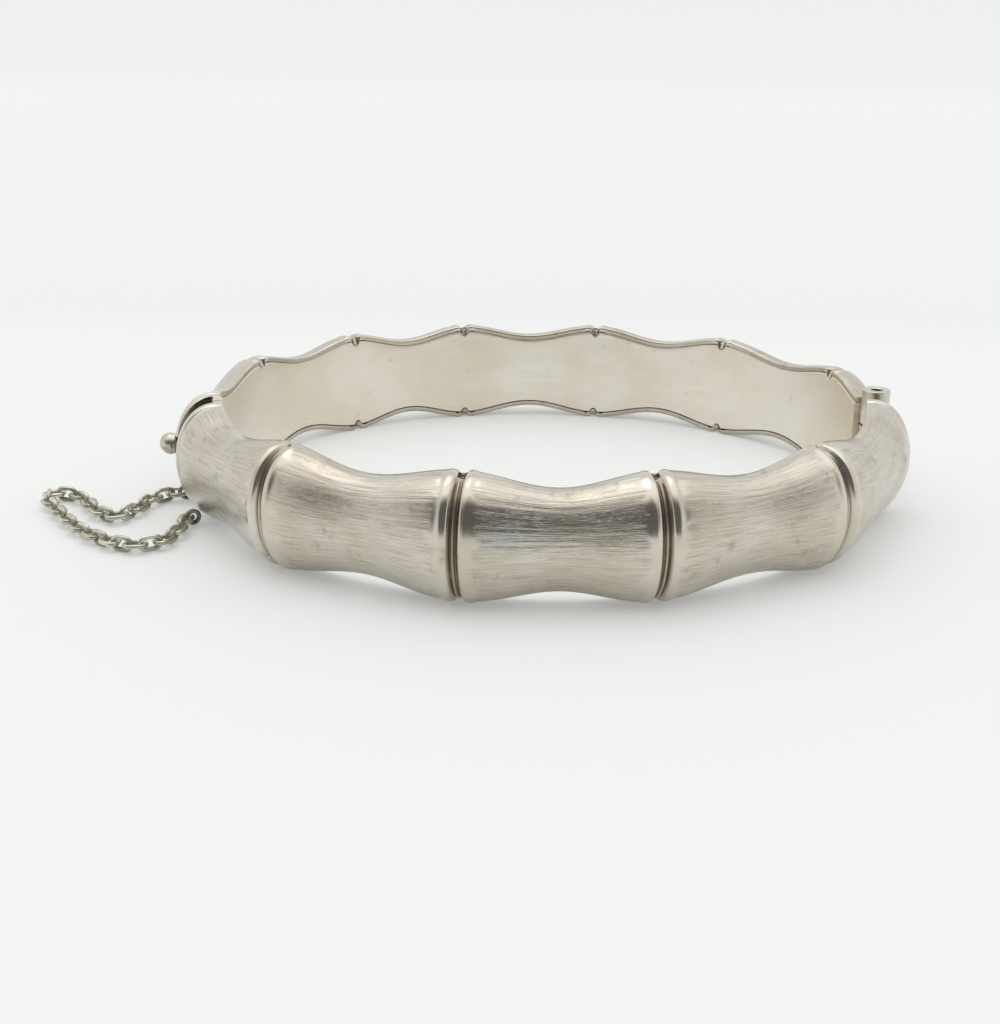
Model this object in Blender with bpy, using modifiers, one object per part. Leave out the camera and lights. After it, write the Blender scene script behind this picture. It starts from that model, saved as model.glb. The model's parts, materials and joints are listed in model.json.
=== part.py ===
"""Hinged silver bangle bracelet in bamboo segments, with a tongue clasp and a safety chain.

Metres, +Z up. The bangle stands on its edge. The origin is the middle of the oval on the
surface that it stands on, X runs along the oval's long axis towards the hinge, and the
front section lies at -Y. Lengths below are in millimetres and angles in degrees.
"""

import math

import bmesh
import bpy
from mathutils import Matrix, Vector

MM = 0.001

# The oval of the inner wall, and the height of the bangle's middle.
INNER_X = 30.0
INNER_Y = 26.0
MID_Z = 5.25

# The D-shaped section, tall at a bamboo node and slim at the waist between two nodes.
NODE_HALF_HEIGHT = 5.25
WAIST_HALF_HEIGHT = 4.1
NODE_DEPTH = 4.4
WAIST_DEPTH = 3.35
FLAT_DEPTH = 0.8
SHEET = 0.5
LINER_SHEET = 0.6
FIT = 0.2

# A node is two polished rims with a V-groove between them.
RIM_OUTER = 1.4
RIM_CREST = 0.8
RIM_INNER = 0.45
RIM_INNER_DROP = 0.06
GROOVE_DEPTH = 0.5
END_CREST = 0.55
END_EDGE_DROP = 0.12

# Where the two sections end and where their nodes lie, as angles round the oval.
FRONT_ENDS = (-163.3, -6.6)
FRONT_NODES = (-132.0, -101.5, -73.5, -42.5)
BACK_ENDS = (3.4, 192.3)
BACK_NODES = (17.5, 50.0, 79.0, 107.5, 133.0, 161.0)
STATIONS_PER_SEGMENT = 5
ARC_POINTS = 9

# End plates stand a little inside each section's mouth.
PLATE_THICKNESS = 0.7
PLATE_INSET = 0.15

# Hinge: three knuckles on one pin, upright, as thick as the bangle's wall.
HINGE_ANGLE = -1.0
HINGE_DEPTH = 1.4
BARREL_RADIUS = 1.3
BARREL_BOTTOM = 0.2
BARREL_TOP = 10.7
KNUCKLE_GAP = 0.2
KNUCKLE_EDGE = 0.15
BORE_RADIUS = 0.55
PIN_RADIUS = 0.47
PIN_END_RECESS = 1.0
PIN_DOME = 0.12
LEAF_THICKNESS = 0.7
BARREL_SIDES = 24

# Clasp: a folded tongue on the front section that enters the back section's mouth.
TONGUE_HEIGHT = 4.0
TONGUE_LENGTH = 7.6
TONGUE_BASE_DEPTH = 2.1
TONGUE_SHEET = 0.45
SPRING_HEIGHT = 3.6
SPRING_GAP = 0.55
SPRING_SHEET = 0.4
SPRING_LENGTH = 5.6
FOLD_LENGTH = 0.8
FOLD_FROM_TIP = 0.5
MOUTH_HALF_HEIGHT = 2.3
MOUTH_DEPTHS = (1.1, 2.9)
THUMB_ANGLE = 188.6
THUMB_HEIGHT = 5.6
THUMB_DEPTH = 4.8
THUMB_RADIUS = 1.02
THUMB_NECK_RADIUS = 0.38
THUMB_SHOULDER = 0.1
THUMB_BALL_TURN = 160
THUMB_BALL_STEPS = 8
THUMB_SIDES = 16
NOTCH_HALF_HEIGHT = 1.15
NOTCH_LENGTH = 3.3
LUG_SIZE = (0.9, 0.8, 0.9)
LUG_DEPTH = 0.3
LUG_Z = 9.95
BROKEN_EDGE = 0.08

# Safety chain of oval links, alternately lying flat and standing on edge.
LINK_COUNT = 35
LINK_LENGTH = 2.2
LINK_WIDTH = 1.46
LINK_WIRE = 0.4
LINK_BEND_POINTS = 5
HALVINGS = 40
CHAIN_Z = 0.75
LOOP_HALF_HEIGHT = 0.55
FRONT_LOOP_ANGLE = -158.5
FRONT_LOOP_DEPTH = 3.55
FRONT_LOOP_REACH = 0.55
BACK_LOOP_ANGLE = 188.3
BACK_LOOP_DEPTH = 3.7
BACK_LOOP_REACH = 0.7
# The last link is a round ring, loose in the back loop.
END_RING_RADIUS = 0.95
RING_SLACK = 0.13
# The chain's route on the table between its two loops, from the front loop to the back one.
CHAIN_ROUTE = (
    (-31.6, -14.4), (-32.5, -17.2), (-35.2, -18.0), (-38.6, -15.9), (-41.6, -12.8),
    (-44.4, -9.0), (-46.2, -6.0), (-44.3, -5.2), (-42.2, -6.9), (-40.6, -9.4),
    (-38.3, -11.2), (-36.9, -9.2), (-36.2, -6.4),
)
# How far the route may be drawn in or spread to suit the chain's length.
ROUTE_SPREADS = (0.7, 1.4)

SILVER = (0.70, 0.68, 0.64, 1.0)
BRIGHT_SILVER = (0.80, 0.78, 0.74, 1.0)
SATIN_SILVER = (0.78, 0.74, 0.66, 1.0)
DULL_SILVER = (0.52, 0.50, 0.44, 1.0)


# ---------------------------------------------------------------- the oval and its section

def oval_point(angle, depth, z):
    """The point `depth` outside the inner wall at this angle, and the outward normal."""
    turn = math.radians(angle)
    foot = Vector((INNER_X * math.cos(turn), INNER_Y * math.sin(turn), z))
    normal = Vector((math.cos(turn) / INNER_X, math.sin(turn) / INNER_Y, 0)).normalized()
    return foot + normal * depth, normal


def oval_speed(angle):
    """Millimetres along the inner wall for each degree at this angle."""
    turn = math.radians(angle)
    return math.radians(math.hypot(INNER_X * math.sin(turn), INNER_Y * math.cos(turn)))


def frame_at(angle, depth, z):
    """Axes at a place on the oval: X outward, Y along the oval the way angles grow, Z up."""
    place, normal = oval_point(angle, depth, z)
    along = Vector((0, 0, 1)).cross(normal)
    turn = Matrix((normal, along, Vector((0, 0, 1)))).transposed().to_4x4()
    return Matrix.Translation(place * MM) @ turn


def stations(ends, nodes, rim_at_start):
    """(angle, share of waist, inset) along a section, fine at the nodes."""
    marks = []
    posts = list(nodes) + [ends[1]]
    if rim_at_start:
        posts.insert(0, ends[0])
    for post in posts:
        speed = oval_speed(post)
        at_start, at_end = post == ends[0], post == ends[1]
        if at_start or at_end:
            side = 1 if at_start else -1
            offsets = [(0, END_EDGE_DROP), (END_CREST, 0), (RIM_OUTER, 0)]
            marks += [(post + side * gap / speed, inset) for gap, inset in offsets]
        else:
            offsets = [(-RIM_OUTER, 0), (-RIM_CREST, 0), (-RIM_INNER, RIM_INNER_DROP),
                       (0, GROOVE_DEPTH),
                       (RIM_INNER, RIM_INNER_DROP), (RIM_CREST, 0), (RIM_OUTER, 0)]
            marks += [(post + gap / speed, inset) for gap, inset in offsets]
    spans = list(zip(posts, posts[1:]))
    if not rim_at_start:
        spans.insert(0, (2 * ends[0] - posts[0], posts[0]))
    for low, high in spans:
        first = max(low + RIM_OUTER / oval_speed(low), ends[0])
        last = high - RIM_OUTER / oval_speed(high)
        steps = STATIONS_PER_SEGMENT + 1
        inner = range(1, steps) if first > ends[0] else range(0, steps)
        marks += [(first + (last - first) * k / steps, 0) for k in inner]
    found = []
    for angle, inset in sorted(marks):
        low, high = next(s for s in spans if s[0] - 1e-6 <= angle <= s[1] + 1e-6)
        share = (angle - low) / (high - low)
        waist = (1 - math.cos(math.tau * share)) / 2
        found.append((angle, waist, inset))
    return found


def half_height(waist, inset):
    return NODE_HALF_HEIGHT + (WAIST_HALF_HEIGHT - NODE_HALF_HEIGHT) * waist - inset


def wall_depth(waist, inset):
    return NODE_DEPTH + (WAIST_DEPTH - NODE_DEPTH) * waist - inset


def d_outline(tall, deep, start_depth):
    """A D from its lower inner corner round to the upper one: flat, arc, flat."""
    points = [(start_depth, -tall)] if start_depth < FLAT_DEPTH else []
    for k in range(ARC_POINTS + 1):
        turn = math.pi * k / ARC_POINTS
        points.append((FLAT_DEPTH + (deep - FLAT_DEPTH) * math.sin(turn), -tall * math.cos(turn)))
    if start_depth < FLAT_DEPTH:
        points.append((start_depth, tall))
    return points


# ---------------------------------------------------------------- building blocks

def new_collection(name):
    collection = bpy.data.collections.new(name)
    bpy.context.scene.collection.children.link(collection)
    return collection


def metal(name, colour, roughness):
    material = bpy.data.materials.new(name)
    material.use_nodes = True
    shader = material.node_tree.nodes["Principled BSDF"]
    shader.inputs["Base Color"].default_value = colour
    shader.inputs["Roughness"].default_value = roughness
    shader.inputs["Metallic"].default_value = 1.0
    return material


def put(name, data, material, place=None):
    """A named object in the bangle's collection, at a place given as a matrix."""
    piece = bpy.data.objects.new(name, data)
    PARTS.objects.link(piece)
    data.materials.append(material)
    piece.matrix_world = place or Matrix.Identity(4)
    return piece


def mesh_of(name, fill):
    data = bpy.data.meshes.new(name)
    shape = bmesh.new()
    fill(shape)
    shape.to_mesh(data)
    shape.free()
    return data


def loft(name, rings, material):
    """A closed body through rings of equal length, capped at both ends."""
    def fill(shape):
        rows = [[shape.verts.new(p * MM) for p in ring] for ring in rings]
        count = len(rings[0])
        for row, after in zip(rows, rows[1:]):
            for k in range(count):
                nxt = (k + 1) % count
                shape.faces.new((row[k], row[nxt], after[nxt], after[k]))
        shape.faces.new(list(reversed(rows[0])))
        shape.faces.new(rows[-1])
        bmesh.ops.recalc_face_normals(shape, faces=shape.faces)
    data = mesh_of(name, fill)
    piece = put(name, data, material)
    data.shade_smooth()
    data.set_sharp_from_angle(angle=math.radians(40))
    return piece


def box_mesh(name, size):
    """A box with its middle at the origin."""
    def fill(shape):
        bmesh.ops.create_cube(shape, size=1.0, matrix=Matrix.Diagonal((*size, 1)) @ SCALE)
    return mesh_of(name, fill)


def block(name, size, material, place):
    """A box with its middle at the place's origin, its edges broken by a small bevel."""
    piece = put(name, box_mesh(name, size), material, place)
    bevel = piece.modifiers.new("broken edges", "BEVEL")
    bevel.width = BROKEN_EDGE * MM
    bevel.segments = 1
    return piece


def turned(name, profile, material, place, sides):
    """A profile of (radius, height) points, top to bottom, turned about the place's Z."""
    data = bpy.data.meshes.new(name)
    closed = profile[0][0] > 0 and profile[-1][0] > 0
    edges = [(k, k + 1) for k in range(len(profile) - 1)]
    if closed:
        edges.append((len(profile) - 1, 0))
    data.from_pydata([(r * MM, 0, h * MM) for r, h in profile], edges, [])
    piece = put(name, data, material, place)
    screw = piece.modifiers.new("turned", "SCREW")
    screw.steps = screw.render_steps = sides
    screw.use_merge_vertices = True
    screw.merge_threshold = 0.00001
    return piece


def cutter_box(name, size, place):
    """A box that only cuts other pieces."""
    cutter = bpy.data.objects.new(name, box_mesh(name, size))
    CUTTERS.objects.link(cutter)
    cutter.matrix_world = place
    cutter.hide_render = True
    cutter.display_type = "WIRE"
    return cutter


def cut(piece, cutter):
    boolean = piece.modifiers.new(cutter.name, "BOOLEAN")
    boolean.operation = "DIFFERENCE"
    boolean.object = cutter


def ring_of_wire(name, points, material, place):
    """A closed wire through points given in the place's XY plane."""
    curve = bpy.data.curves.new(name, "CURVE")
    curve.dimensions = "3D"
    curve.bevel_depth = LINK_WIRE / 2 * MM
    curve.bevel_resolution = 1
    spline = curve.splines.new("POLY")
    spline.points.add(len(points) - 1)
    for point, (x, y) in zip(spline.points, points):
        point.co = (x * MM, y * MM, 0, 1)
    spline.use_cyclic_u = True
    spline.use_smooth = True
    return put(name, curve, material, place)


# ---------------------------------------------------------------- the two sections

def section(side, ends, nodes, rim_at_start):
    """The outer shell and the liner of one half, both following the bamboo outline."""
    shell, liner = [], []
    for angle, waist, inset in stations(ends, nodes, rim_at_start):
        tall, deep = half_height(waist, inset), wall_depth(waist, inset)
        outer = d_outline(tall, deep, 0)
        inner = d_outline(tall - SHEET, deep - SHEET, 0)
        outline = outer + list(reversed(inner))
        shell.append([oval_point(angle, depth, MID_Z + z)[0] for depth, z in outline])
        edge = tall - SHEET - FIT
        strip = [(0, -edge), (LINER_SHEET, -edge), (LINER_SHEET, edge), (0, edge)]
        liner.append([oval_point(angle, depth, MID_Z + z)[0] for depth, z in strip])
    shell_piece = loft(f"{side}_shell", shell, MATERIALS["bark"])
    loft(f"{side}_liner", liner, MATERIALS["satin"])
    return shell_piece


def plate_outline(waist):
    """The D inside the shell's mouth, clear of the shell and of the liner."""
    tall = half_height(waist, END_EDGE_DROP) - SHEET - FIT
    deep = wall_depth(waist, END_EDGE_DROP) - SHEET - FIT
    return d_outline(tall, deep, FLAT_DEPTH)


def end_plate(name, end_angle, way, waist):
    """A plate just inside a section's mouth; `way` is +1 where the section runs on."""
    place = frame_at(end_angle, 0, MID_Z)
    rings = []
    for along in (PLATE_INSET, PLATE_INSET + PLATE_THICKNESS):
        rings.append([place @ (Vector((depth, way * along, z)) * MM) / MM
                      for depth, z in plate_outline(waist)])
    return loft(name, rings, MATERIALS["polished"])


def clasp_openings(shell, plate):
    """The slot in the back section's mouth that the tongue enters, and the notch through
    shell and plate that the thumb-piece stands in."""
    near, far = MOUTH_DEPTHS
    place = frame_at(BACK_ENDS[1], (near + far) / 2, MID_Z)
    size = (far - near, 6 * PLATE_THICKNESS, 2 * MOUTH_HALF_HEIGHT)
    cut(plate, cutter_box("mouth_window_cutter", size, place))
    place = frame_at(BACK_ENDS[1], NODE_DEPTH, THUMB_HEIGHT)
    size = (NODE_DEPTH, 2 * NOTCH_LENGTH, 2 * NOTCH_HALF_HEIGHT)
    notch = cutter_box("thumb_notch_cutter", size, place)
    cut(shell, notch)
    cut(plate, notch)


# ---------------------------------------------------------------- hinge

def hinge_place():
    return frame_at(HINGE_ANGLE, HINGE_DEPTH, 0)


def knuckle(name, low, high):
    """A short tube with broken edges."""
    edge = KNUCKLE_EDGE
    profile = [
        (BORE_RADIUS, high), (BARREL_RADIUS - edge, high), (BARREL_RADIUS, high - edge),
        (BARREL_RADIUS, low + edge), (BARREL_RADIUS - edge, low), (BORE_RADIUS, low),
    ]
    return turned(name, profile, MATERIALS["polished"], hinge_place(), BARREL_SIDES)


def hinge():
    third = (BARREL_TOP - BARREL_BOTTOM - 2 * KNUCKLE_GAP) / 3
    lows = [BARREL_BOTTOM + k * (third + KNUCKLE_GAP) for k in range(3)]
    for name, low in zip(("lower_knuckle", "middle_knuckle", "upper_knuckle"), lows):
        knuckle(name, low, low + third)
    dome = PIN_DOME
    top, low = BARREL_TOP - PIN_END_RECESS, BARREL_BOTTOM + PIN_END_RECESS
    profile = [(0, top), (PIN_RADIUS * 0.7, top - dome / 2), (PIN_RADIUS, top - dome),
               (PIN_RADIUS, low + dome), (PIN_RADIUS * 0.7, low + dome / 2), (0, low)]
    turned("hinge_pin", profile, MATERIALS["dull"], hinge_place(), BARREL_SIDES)
    # The leaf ties the middle knuckle to the front section's end plate.
    axis, _ = oval_point(HINGE_ANGLE, HINGE_DEPTH, 0)
    face, _ = oval_point(FRONT_ENDS[1], HINGE_DEPTH, 0)
    inset = Vector((0, -PLATE_INSET, 0))
    reach = (axis - face - inset).length - BARREL_RADIUS - 2 * FIT
    middle = lows[1] + third / 2
    place = hinge_place() @ Matrix.Translation(
        (0, -(BARREL_RADIUS + FIT + reach / 2) * MM, middle * MM))
    block("middle_knuckle_leaf", (LEAF_THICKNESS, reach, third - 2 * KNUCKLE_GAP),
          MATERIALS["polished"], place)


# ---------------------------------------------------------------- clasp

def tongue_frame():
    """Axes at the front section's mouth: Y along the arc on which the clasp closes."""
    mouth, _ = oval_point(FRONT_ENDS[0], TONGUE_BASE_DEPTH, 0)
    axis, _ = oval_point(HINGE_ANGLE, HINGE_DEPTH, 0)
    outward = (mouth - axis).normalized()
    inward_y = outward.cross(Vector((0, 0, 1)))
    # The tongue's middle follows the arc, so it leans half its own turn.
    lean = Matrix.Rotation(-TONGUE_LENGTH / (2 * (mouth - axis).length), 4, "Z")
    turn = Matrix((outward, -inward_y, Vector((0, 0, 1)))).transposed().to_4x4()
    return Matrix.Translation((mouth + Vector((0, 0, MID_Z))) * MM) @ turn @ lean


def clasp():
    frame = tongue_frame()
    start = PLATE_INSET - FIT
    length = TONGUE_LENGTH
    base = frame @ Matrix.Translation((0, -(length / 2 - start) * MM, 0))
    block("tongue_base", (TONGUE_SHEET, length, TONGUE_HEIGHT), MATERIALS["polished"], base)
    lift = TONGUE_SHEET / 2 + SPRING_GAP + SPRING_SHEET / 2
    tip = length - start
    spring = frame @ Matrix.Translation((lift * MM, -(tip - SPRING_LENGTH / 2) * MM, 0))
    block("spring_leaf", (SPRING_SHEET, SPRING_LENGTH, SPRING_HEIGHT), MATERIALS["polished"],
          spring)
    # The fold joins the two leaves at the tongue's tip.
    fold_size = (SPRING_GAP - FIT, FOLD_LENGTH, SPRING_HEIGHT)
    fold = frame @ Matrix.Translation(
        ((TONGUE_SHEET + SPRING_GAP) / 2 * MM, -(tip - FOLD_FROM_TIP) * MM, 0))
    block("tongue_fold", fold_size, MATERIALS["polished"], fold)
    thumb_piece(frame, lift + SPRING_SHEET / 2 + FIT)


def thumb_piece(frame, leaf_top):
    """A ball on a neck, turned about the line that points out of the bangle."""
    ball, normal = oval_point(THUMB_ANGLE, THUMB_DEPTH, THUMB_HEIGHT)
    local = frame.inverted() @ (ball * MM)
    neck = local.x / MM - leaf_top
    profile = []
    for k in range(THUMB_BALL_STEPS + 1):
        turn = math.radians(THUMB_BALL_TURN) * k / THUMB_BALL_STEPS
        radius, height = THUMB_RADIUS * math.sin(turn), THUMB_RADIUS * math.cos(turn)
        profile.append((radius, height))
    shoulder = profile[-1][1] - THUMB_SHOULDER
    profile += [(THUMB_NECK_RADIUS, shoulder), (THUMB_NECK_RADIUS, -neck), (0, -neck)]
    outward = frame.to_3x3() @ Vector((1, 0, 0))
    turn = outward.to_track_quat("Z", "Y").to_matrix().to_4x4()
    turned("thumb_piece", profile, MATERIALS["polished"],
           Matrix.Translation(ball * MM) @ turn, THUMB_SIDES)


def stop_lugs():
    """Two small squares in the clasp gap at the inner top corner, one on each section."""
    wide, along, tall = LUG_SIZE
    for name, end, way in (("front_stop_lug", FRONT_ENDS[0], -1), ("back_stop_lug", BACK_ENDS[1], 1)):
        shift = way * (along / 2 - PLATE_INSET + FIT)
        place = frame_at(end, LUG_DEPTH, LUG_Z) @ Matrix.Translation((0, shift * MM, 0))
        block(name, LUG_SIZE, MATERIALS["polished"], place)


# ---------------------------------------------------------------- safety chain

def link_reach(index):
    """How far a link's two turning points are apart; even ones lie flat, odd ones stand.
    The end ring's second one is its middle."""
    if index == LINK_COUNT - 1:
        return END_RING_RADIUS - LINK_WIRE - RING_SLACK
    wire_end = (LINK_LENGTH - LINK_WIRE) / 2
    bend_centre = wire_end - (LINK_WIDTH - LINK_WIRE) / 2
    return 2 * (bend_centre if index % 2 == 0 else wire_end)


def smooth_route(points, steps=24):
    """A Catmull-Rom curve through the points, as a fine list."""
    padded = [2 * points[0] - points[1]] + points + [2 * points[-1] - points[-2]]
    fine = []
    for a, b, c, d in zip(padded, padded[1:], padded[2:], padded[3:]):
        for k in range(steps):
            t = k / steps
            fine.append(0.5 * (2 * b + (c - a) * t + (2 * a - 5 * b + 4 * c - d) * t * t
                               + (3 * b - a - 3 * c + d) * t ** 3))
    return fine + [points[-1]]


def walk(fine, reaches):
    """Turning points along a route, each a link's reach from the one before, and the
    route's point after the last of them."""
    found, at, k = [fine[0]], fine[0], 1
    for reach in reaches:
        while (fine[k] - at).length < reach:
            k += 1
        low, high = 0.0, 1.0
        for _ in range(HALVINGS):
            share = (low + high) / 2
            far = (fine[k - 1].lerp(fine[k], share) - at).length > reach
            low, high = (low, share) if far else (share, high)
        at = fine[k - 1].lerp(fine[k], low)
        found.append(at)
    return found, k


def chain_pivots():
    """The turning points between the links, from the front loop's post to the middle of
    the end ring. The route is spread or drawn in until the ring hangs in the back loop."""
    start, _ = oval_point(FRONT_LOOP_ANGLE, FRONT_LOOP_DEPTH + FRONT_LOOP_REACH, CHAIN_Z)
    finish, _ = oval_point(BACK_LOOP_ANGLE, BACK_LOOP_DEPTH + END_RING_RADIUS, CHAIN_Z)
    reaches = [link_reach(k) for k in range(LINK_COUNT)]
    low, high = ROUTE_SPREADS
    for _ in range(HALVINGS):
        spread = (low + high) / 2
        bends = [start + (Vector((x, y, CHAIN_Z)) - start) * spread for x, y in CHAIN_ROUTE]
        fine = smooth_route([start] + bends + [finish])
        overrun = finish + (fine[-1] - fine[-2]).normalized() * sum(reaches)
        pivots, after = walk(fine + [overrun], reaches)
        too_long = after < len(fine)
        low, high = (low, spread) if too_long else (spread, high)
    return pivots


def oval_wire(length, width):
    """The middle line of a link's wire: two half rounds joined by straight sides."""
    radius = (width - LINK_WIRE) / 2
    centre = (length - LINK_WIRE) / 2 - radius
    points = []
    for side, first in ((1, -90), (-1, 90)):
        for k in range(LINK_BEND_POINTS):
            turn = math.radians(first + 180 * k / (LINK_BEND_POINTS - 1))
            points.append((side * centre + radius * math.cos(turn), radius * math.sin(turn)))
    return points


def round_wire(reach, rise, count=12):
    """The middle line of a ring's wire, round or oval."""
    turns = [math.tau * k / count for k in range(count)]
    return [(reach * math.cos(turn), rise * math.sin(turn)) for turn in turns]


def chain_loop(name, angle, depth, reach):
    """A ring on the shell, upright in the plane that points out of the bangle."""
    place = frame_at(angle, depth, CHAIN_Z) @ Matrix.Rotation(math.radians(90), 4, "X")
    ring_of_wire(name, round_wire(reach, LOOP_HALF_HEIGHT), MATERIALS["dull"], place)


def chain():
    pivots = chain_pivots()
    oval = oval_wire(LINK_LENGTH, LINK_WIDTH)
    for index, (a, b) in enumerate(zip(pivots[:-1], pivots[1:-1])):
        heading = math.atan2(b.y - a.y, b.x - a.x)
        place = Matrix.Translation((a + b) / 2 * MM) @ Matrix.Rotation(heading, 4, "Z")
        if index % 2:
            place = place @ Matrix.Rotation(math.radians(90), 4, "X")
        ring_of_wire(f"chain_link_{index + 1:02d}", oval, MATERIALS["dull"], place)
    ring_of_wire("chain_end_ring", round_wire(END_RING_RADIUS, END_RING_RADIUS),
                 MATERIALS["dull"], Matrix.Translation(pivots[-1] * MM))
    chain_loop("front_chain_loop", FRONT_LOOP_ANGLE, FRONT_LOOP_DEPTH, FRONT_LOOP_REACH)
    chain_loop("back_chain_loop", BACK_LOOP_ANGLE, BACK_LOOP_DEPTH, BACK_LOOP_REACH)


# ---------------------------------------------------------------- the bangle

def build():
    section("front", FRONT_ENDS, FRONT_NODES, True)
    back_shell = section("back", BACK_ENDS, BACK_NODES, False)
    end_plate("front_hinge_plate", FRONT_ENDS[1], -1, 0)
    end_plate("front_clasp_plate", FRONT_ENDS[0], 1, 0)
    end_plate("back_hinge_plate", BACK_ENDS[0], 1, 1)
    clasp_openings(back_shell, end_plate("back_clasp_mouth", BACK_ENDS[1], -1, 0))
    hinge()
    clasp()
    stop_lugs()
    chain()


for old in list(bpy.data.objects):
    bpy.data.objects.remove(old, do_unlink=True)
SCALE = Matrix.Diagonal((MM, MM, MM, 1))
PARTS = new_collection("bangle_bracelet")
CUTTERS = new_collection("cutters")
MATERIALS = {
    "bark": metal("bark_silver", SILVER, 0.35),
    "polished": metal("polished_silver", BRIGHT_SILVER, 0.2),
    "satin": metal("satin_silver", SATIN_SILVER, 0.42),
    "dull": metal("tarnished_silver", DULL_SILVER, 0.4),
}
build()
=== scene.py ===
"""Looks of the hinged silver bangle: fine shells with engraved bark, liners, hinge, clasp and
safety chain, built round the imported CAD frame. Lengths are in millimetres unless a name
says otherwise, angles in degrees, and the frame is metres, +Z up.
"""

import json
import math

import bmesh
import bpy
import numpy as np
from mathutils import Matrix, Vector


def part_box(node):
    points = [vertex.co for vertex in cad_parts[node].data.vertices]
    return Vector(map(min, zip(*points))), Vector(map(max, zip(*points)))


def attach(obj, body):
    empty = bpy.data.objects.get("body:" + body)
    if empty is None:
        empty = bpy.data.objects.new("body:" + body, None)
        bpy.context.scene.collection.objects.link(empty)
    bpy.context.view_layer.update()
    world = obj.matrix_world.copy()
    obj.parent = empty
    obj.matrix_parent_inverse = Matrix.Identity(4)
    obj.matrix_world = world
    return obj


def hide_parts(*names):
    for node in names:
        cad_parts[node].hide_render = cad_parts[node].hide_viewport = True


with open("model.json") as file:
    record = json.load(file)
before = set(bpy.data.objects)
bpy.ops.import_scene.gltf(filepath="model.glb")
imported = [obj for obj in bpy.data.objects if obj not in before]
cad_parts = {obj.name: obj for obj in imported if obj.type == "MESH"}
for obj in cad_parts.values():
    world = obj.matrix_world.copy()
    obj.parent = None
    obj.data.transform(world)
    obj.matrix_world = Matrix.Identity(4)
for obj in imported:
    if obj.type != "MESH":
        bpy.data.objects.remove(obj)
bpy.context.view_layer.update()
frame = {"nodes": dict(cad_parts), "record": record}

MM = 0.001

# The bangle's driving sizes, as the CAD frame has them.
INNER_X, INNER_Y, MID_Z = 30.0, 26.0, 5.25
NODE_HALF_HEIGHT, WAIST_HALF_HEIGHT = 5.25, 4.1
NODE_DEPTH, WAIST_DEPTH = 4.4, 3.35
FLAT_DEPTH, SHEET, LINER_SHEET, SEAM = 0.8, 0.5, 0.6, 0.04
FRONT_ENDS, FRONT_NODES = (-163.3, -6.6), (-132.0, -101.5, -73.5, -42.5)
BACK_ENDS, BACK_NODES = (3.4, 192.3), (17.5, 50.0, 79.0, 107.5, 133.0, 161.0)
HINGE_ANGLE, HINGE_DEPTH = -1.0, 1.4
BARREL_RADIUS, BORE_RADIUS, PIN_RADIUS = 1.3, 0.55, 0.47
EDGE_ROUND, BORE_CHAMFER = 0.14, 0.1
THUMB_ANGLE, THUMB_HEIGHT, THUMB_DEPTH, THUMB_RADIUS = 188.6, 5.6, 4.8, 1.02
# How far the ball's profile turns, in how many steps, and its turned line's step and depth.
BALL_TURN, BALL_STEPS, BALL_LINE, BALL_LINE_DEPTH = 162, 24, 15, 0.05
NECK_RADIUS, NECK_STEP = 0.38, 0.1
NOTCH_HALF_HEIGHT, NOTCH_LENGTH = 1.15, 3.3
LINK_LENGTH, LINK_WIDTH, LINK_WIRE, RING_RADIUS = 2.2, 1.46, 0.4, 0.95

# The beads beside a node and an end, and an end's fine line, as depth, place and width.
NODE_BEAD, END_BEAD, END_LINE = (-0.09, 0.86, 0.27), (-0.06, 1.4, 0.2), (0.26, 1.0, 0.16)
# A node's groove, the ridge in it and an end's rounded-off edge, as their depth or height and
# the two distances from the node or end between which they fade.
NODE_GROOVE, NODE_RIDGE, END_EDGE = (0.52, 0.12, 0.52), (0.30, 0.02, 0.19), (0.16, 0.0, 0.3)
# How much of these is left at the flat inner edges, where the ridge runs out.
NODE_SHARE, END_SHARE = 0.85, 0.5
# The share of the arc over which a groove gets its full depth.
EDGE_ARC = 0.12
# How far before 0 and after 1 the rounded corners count on the arc.
CORNER_SHARE = 0.02
# How strongly the lower edge is darkened as painted shade, the table's shadow as reflected in it,
# and the shares of the arc between which that fades.
FOOT_PAINTED_SHADE = (0.45, 0.02, 0.27)
# The depths between which a groove turns sooty, and how much of that the flat edges keep.
GROOVE_SOOT, FLAT_SOOT = (0.16, 0.46), 0.1
# How brown the shell's hidden inner faces are.
INSIDE_PATINA = 0.15
# The radii of the shell's corners and the liner's edges, and the height of its soft waves.
CORNER_ROUND, LINER_ROUND, LINER_WAVE = 0.16, 0.18, 0.03

# How finely the visible surfaces are drawn.
ROW_PITCH = 0.42
NODE_REACH, NODE_PITCH = 1.7, 0.068
OUTER_COLUMNS, CORNER_COLUMNS, INNER_COLUMNS, LINER_COLUMNS = 150, 4, 26, 28
SHELL_CREASE, TURNED_CREASE = math.radians(50), math.radians(35)
# Millimetres in one unit of the engraving's map.
UV_MM = 100.0

# The engraving: how long the arc counts across the segments, and the size of its marks.
ARC_LENGTH = 17.0
STREAK_LONG, STREAK_WIDE, STREAK_DEPTH = 6.0, 0.30, 0.014
HAIR_LONG, HAIR_WIDE, HAIR_SHARE = 2.6, 0.19, 0.6
DENT_SIZE, DENT_DEPTH = 3.6, 0.03
# Where it starts and is full beside a node, how much later it starts at an end, and how far
# its edge strays.
BARK_START, BARK_FULL, BARK_LATER, BARK_RAGGED = 1.15, 1.75, 0.35, 0.45


# ---------------------------------------------------------------- the oval

def oval_foot(angle):
    """Point of the inner wall and outward normal at an angle, as X and Y."""
    turn = math.radians(angle)
    foot = np.array((INNER_X * math.cos(turn), INNER_Y * math.sin(turn)))
    normal = np.array((math.cos(turn) / INNER_X, math.sin(turn) / INNER_Y))
    return foot, normal / np.linalg.norm(normal)


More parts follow.
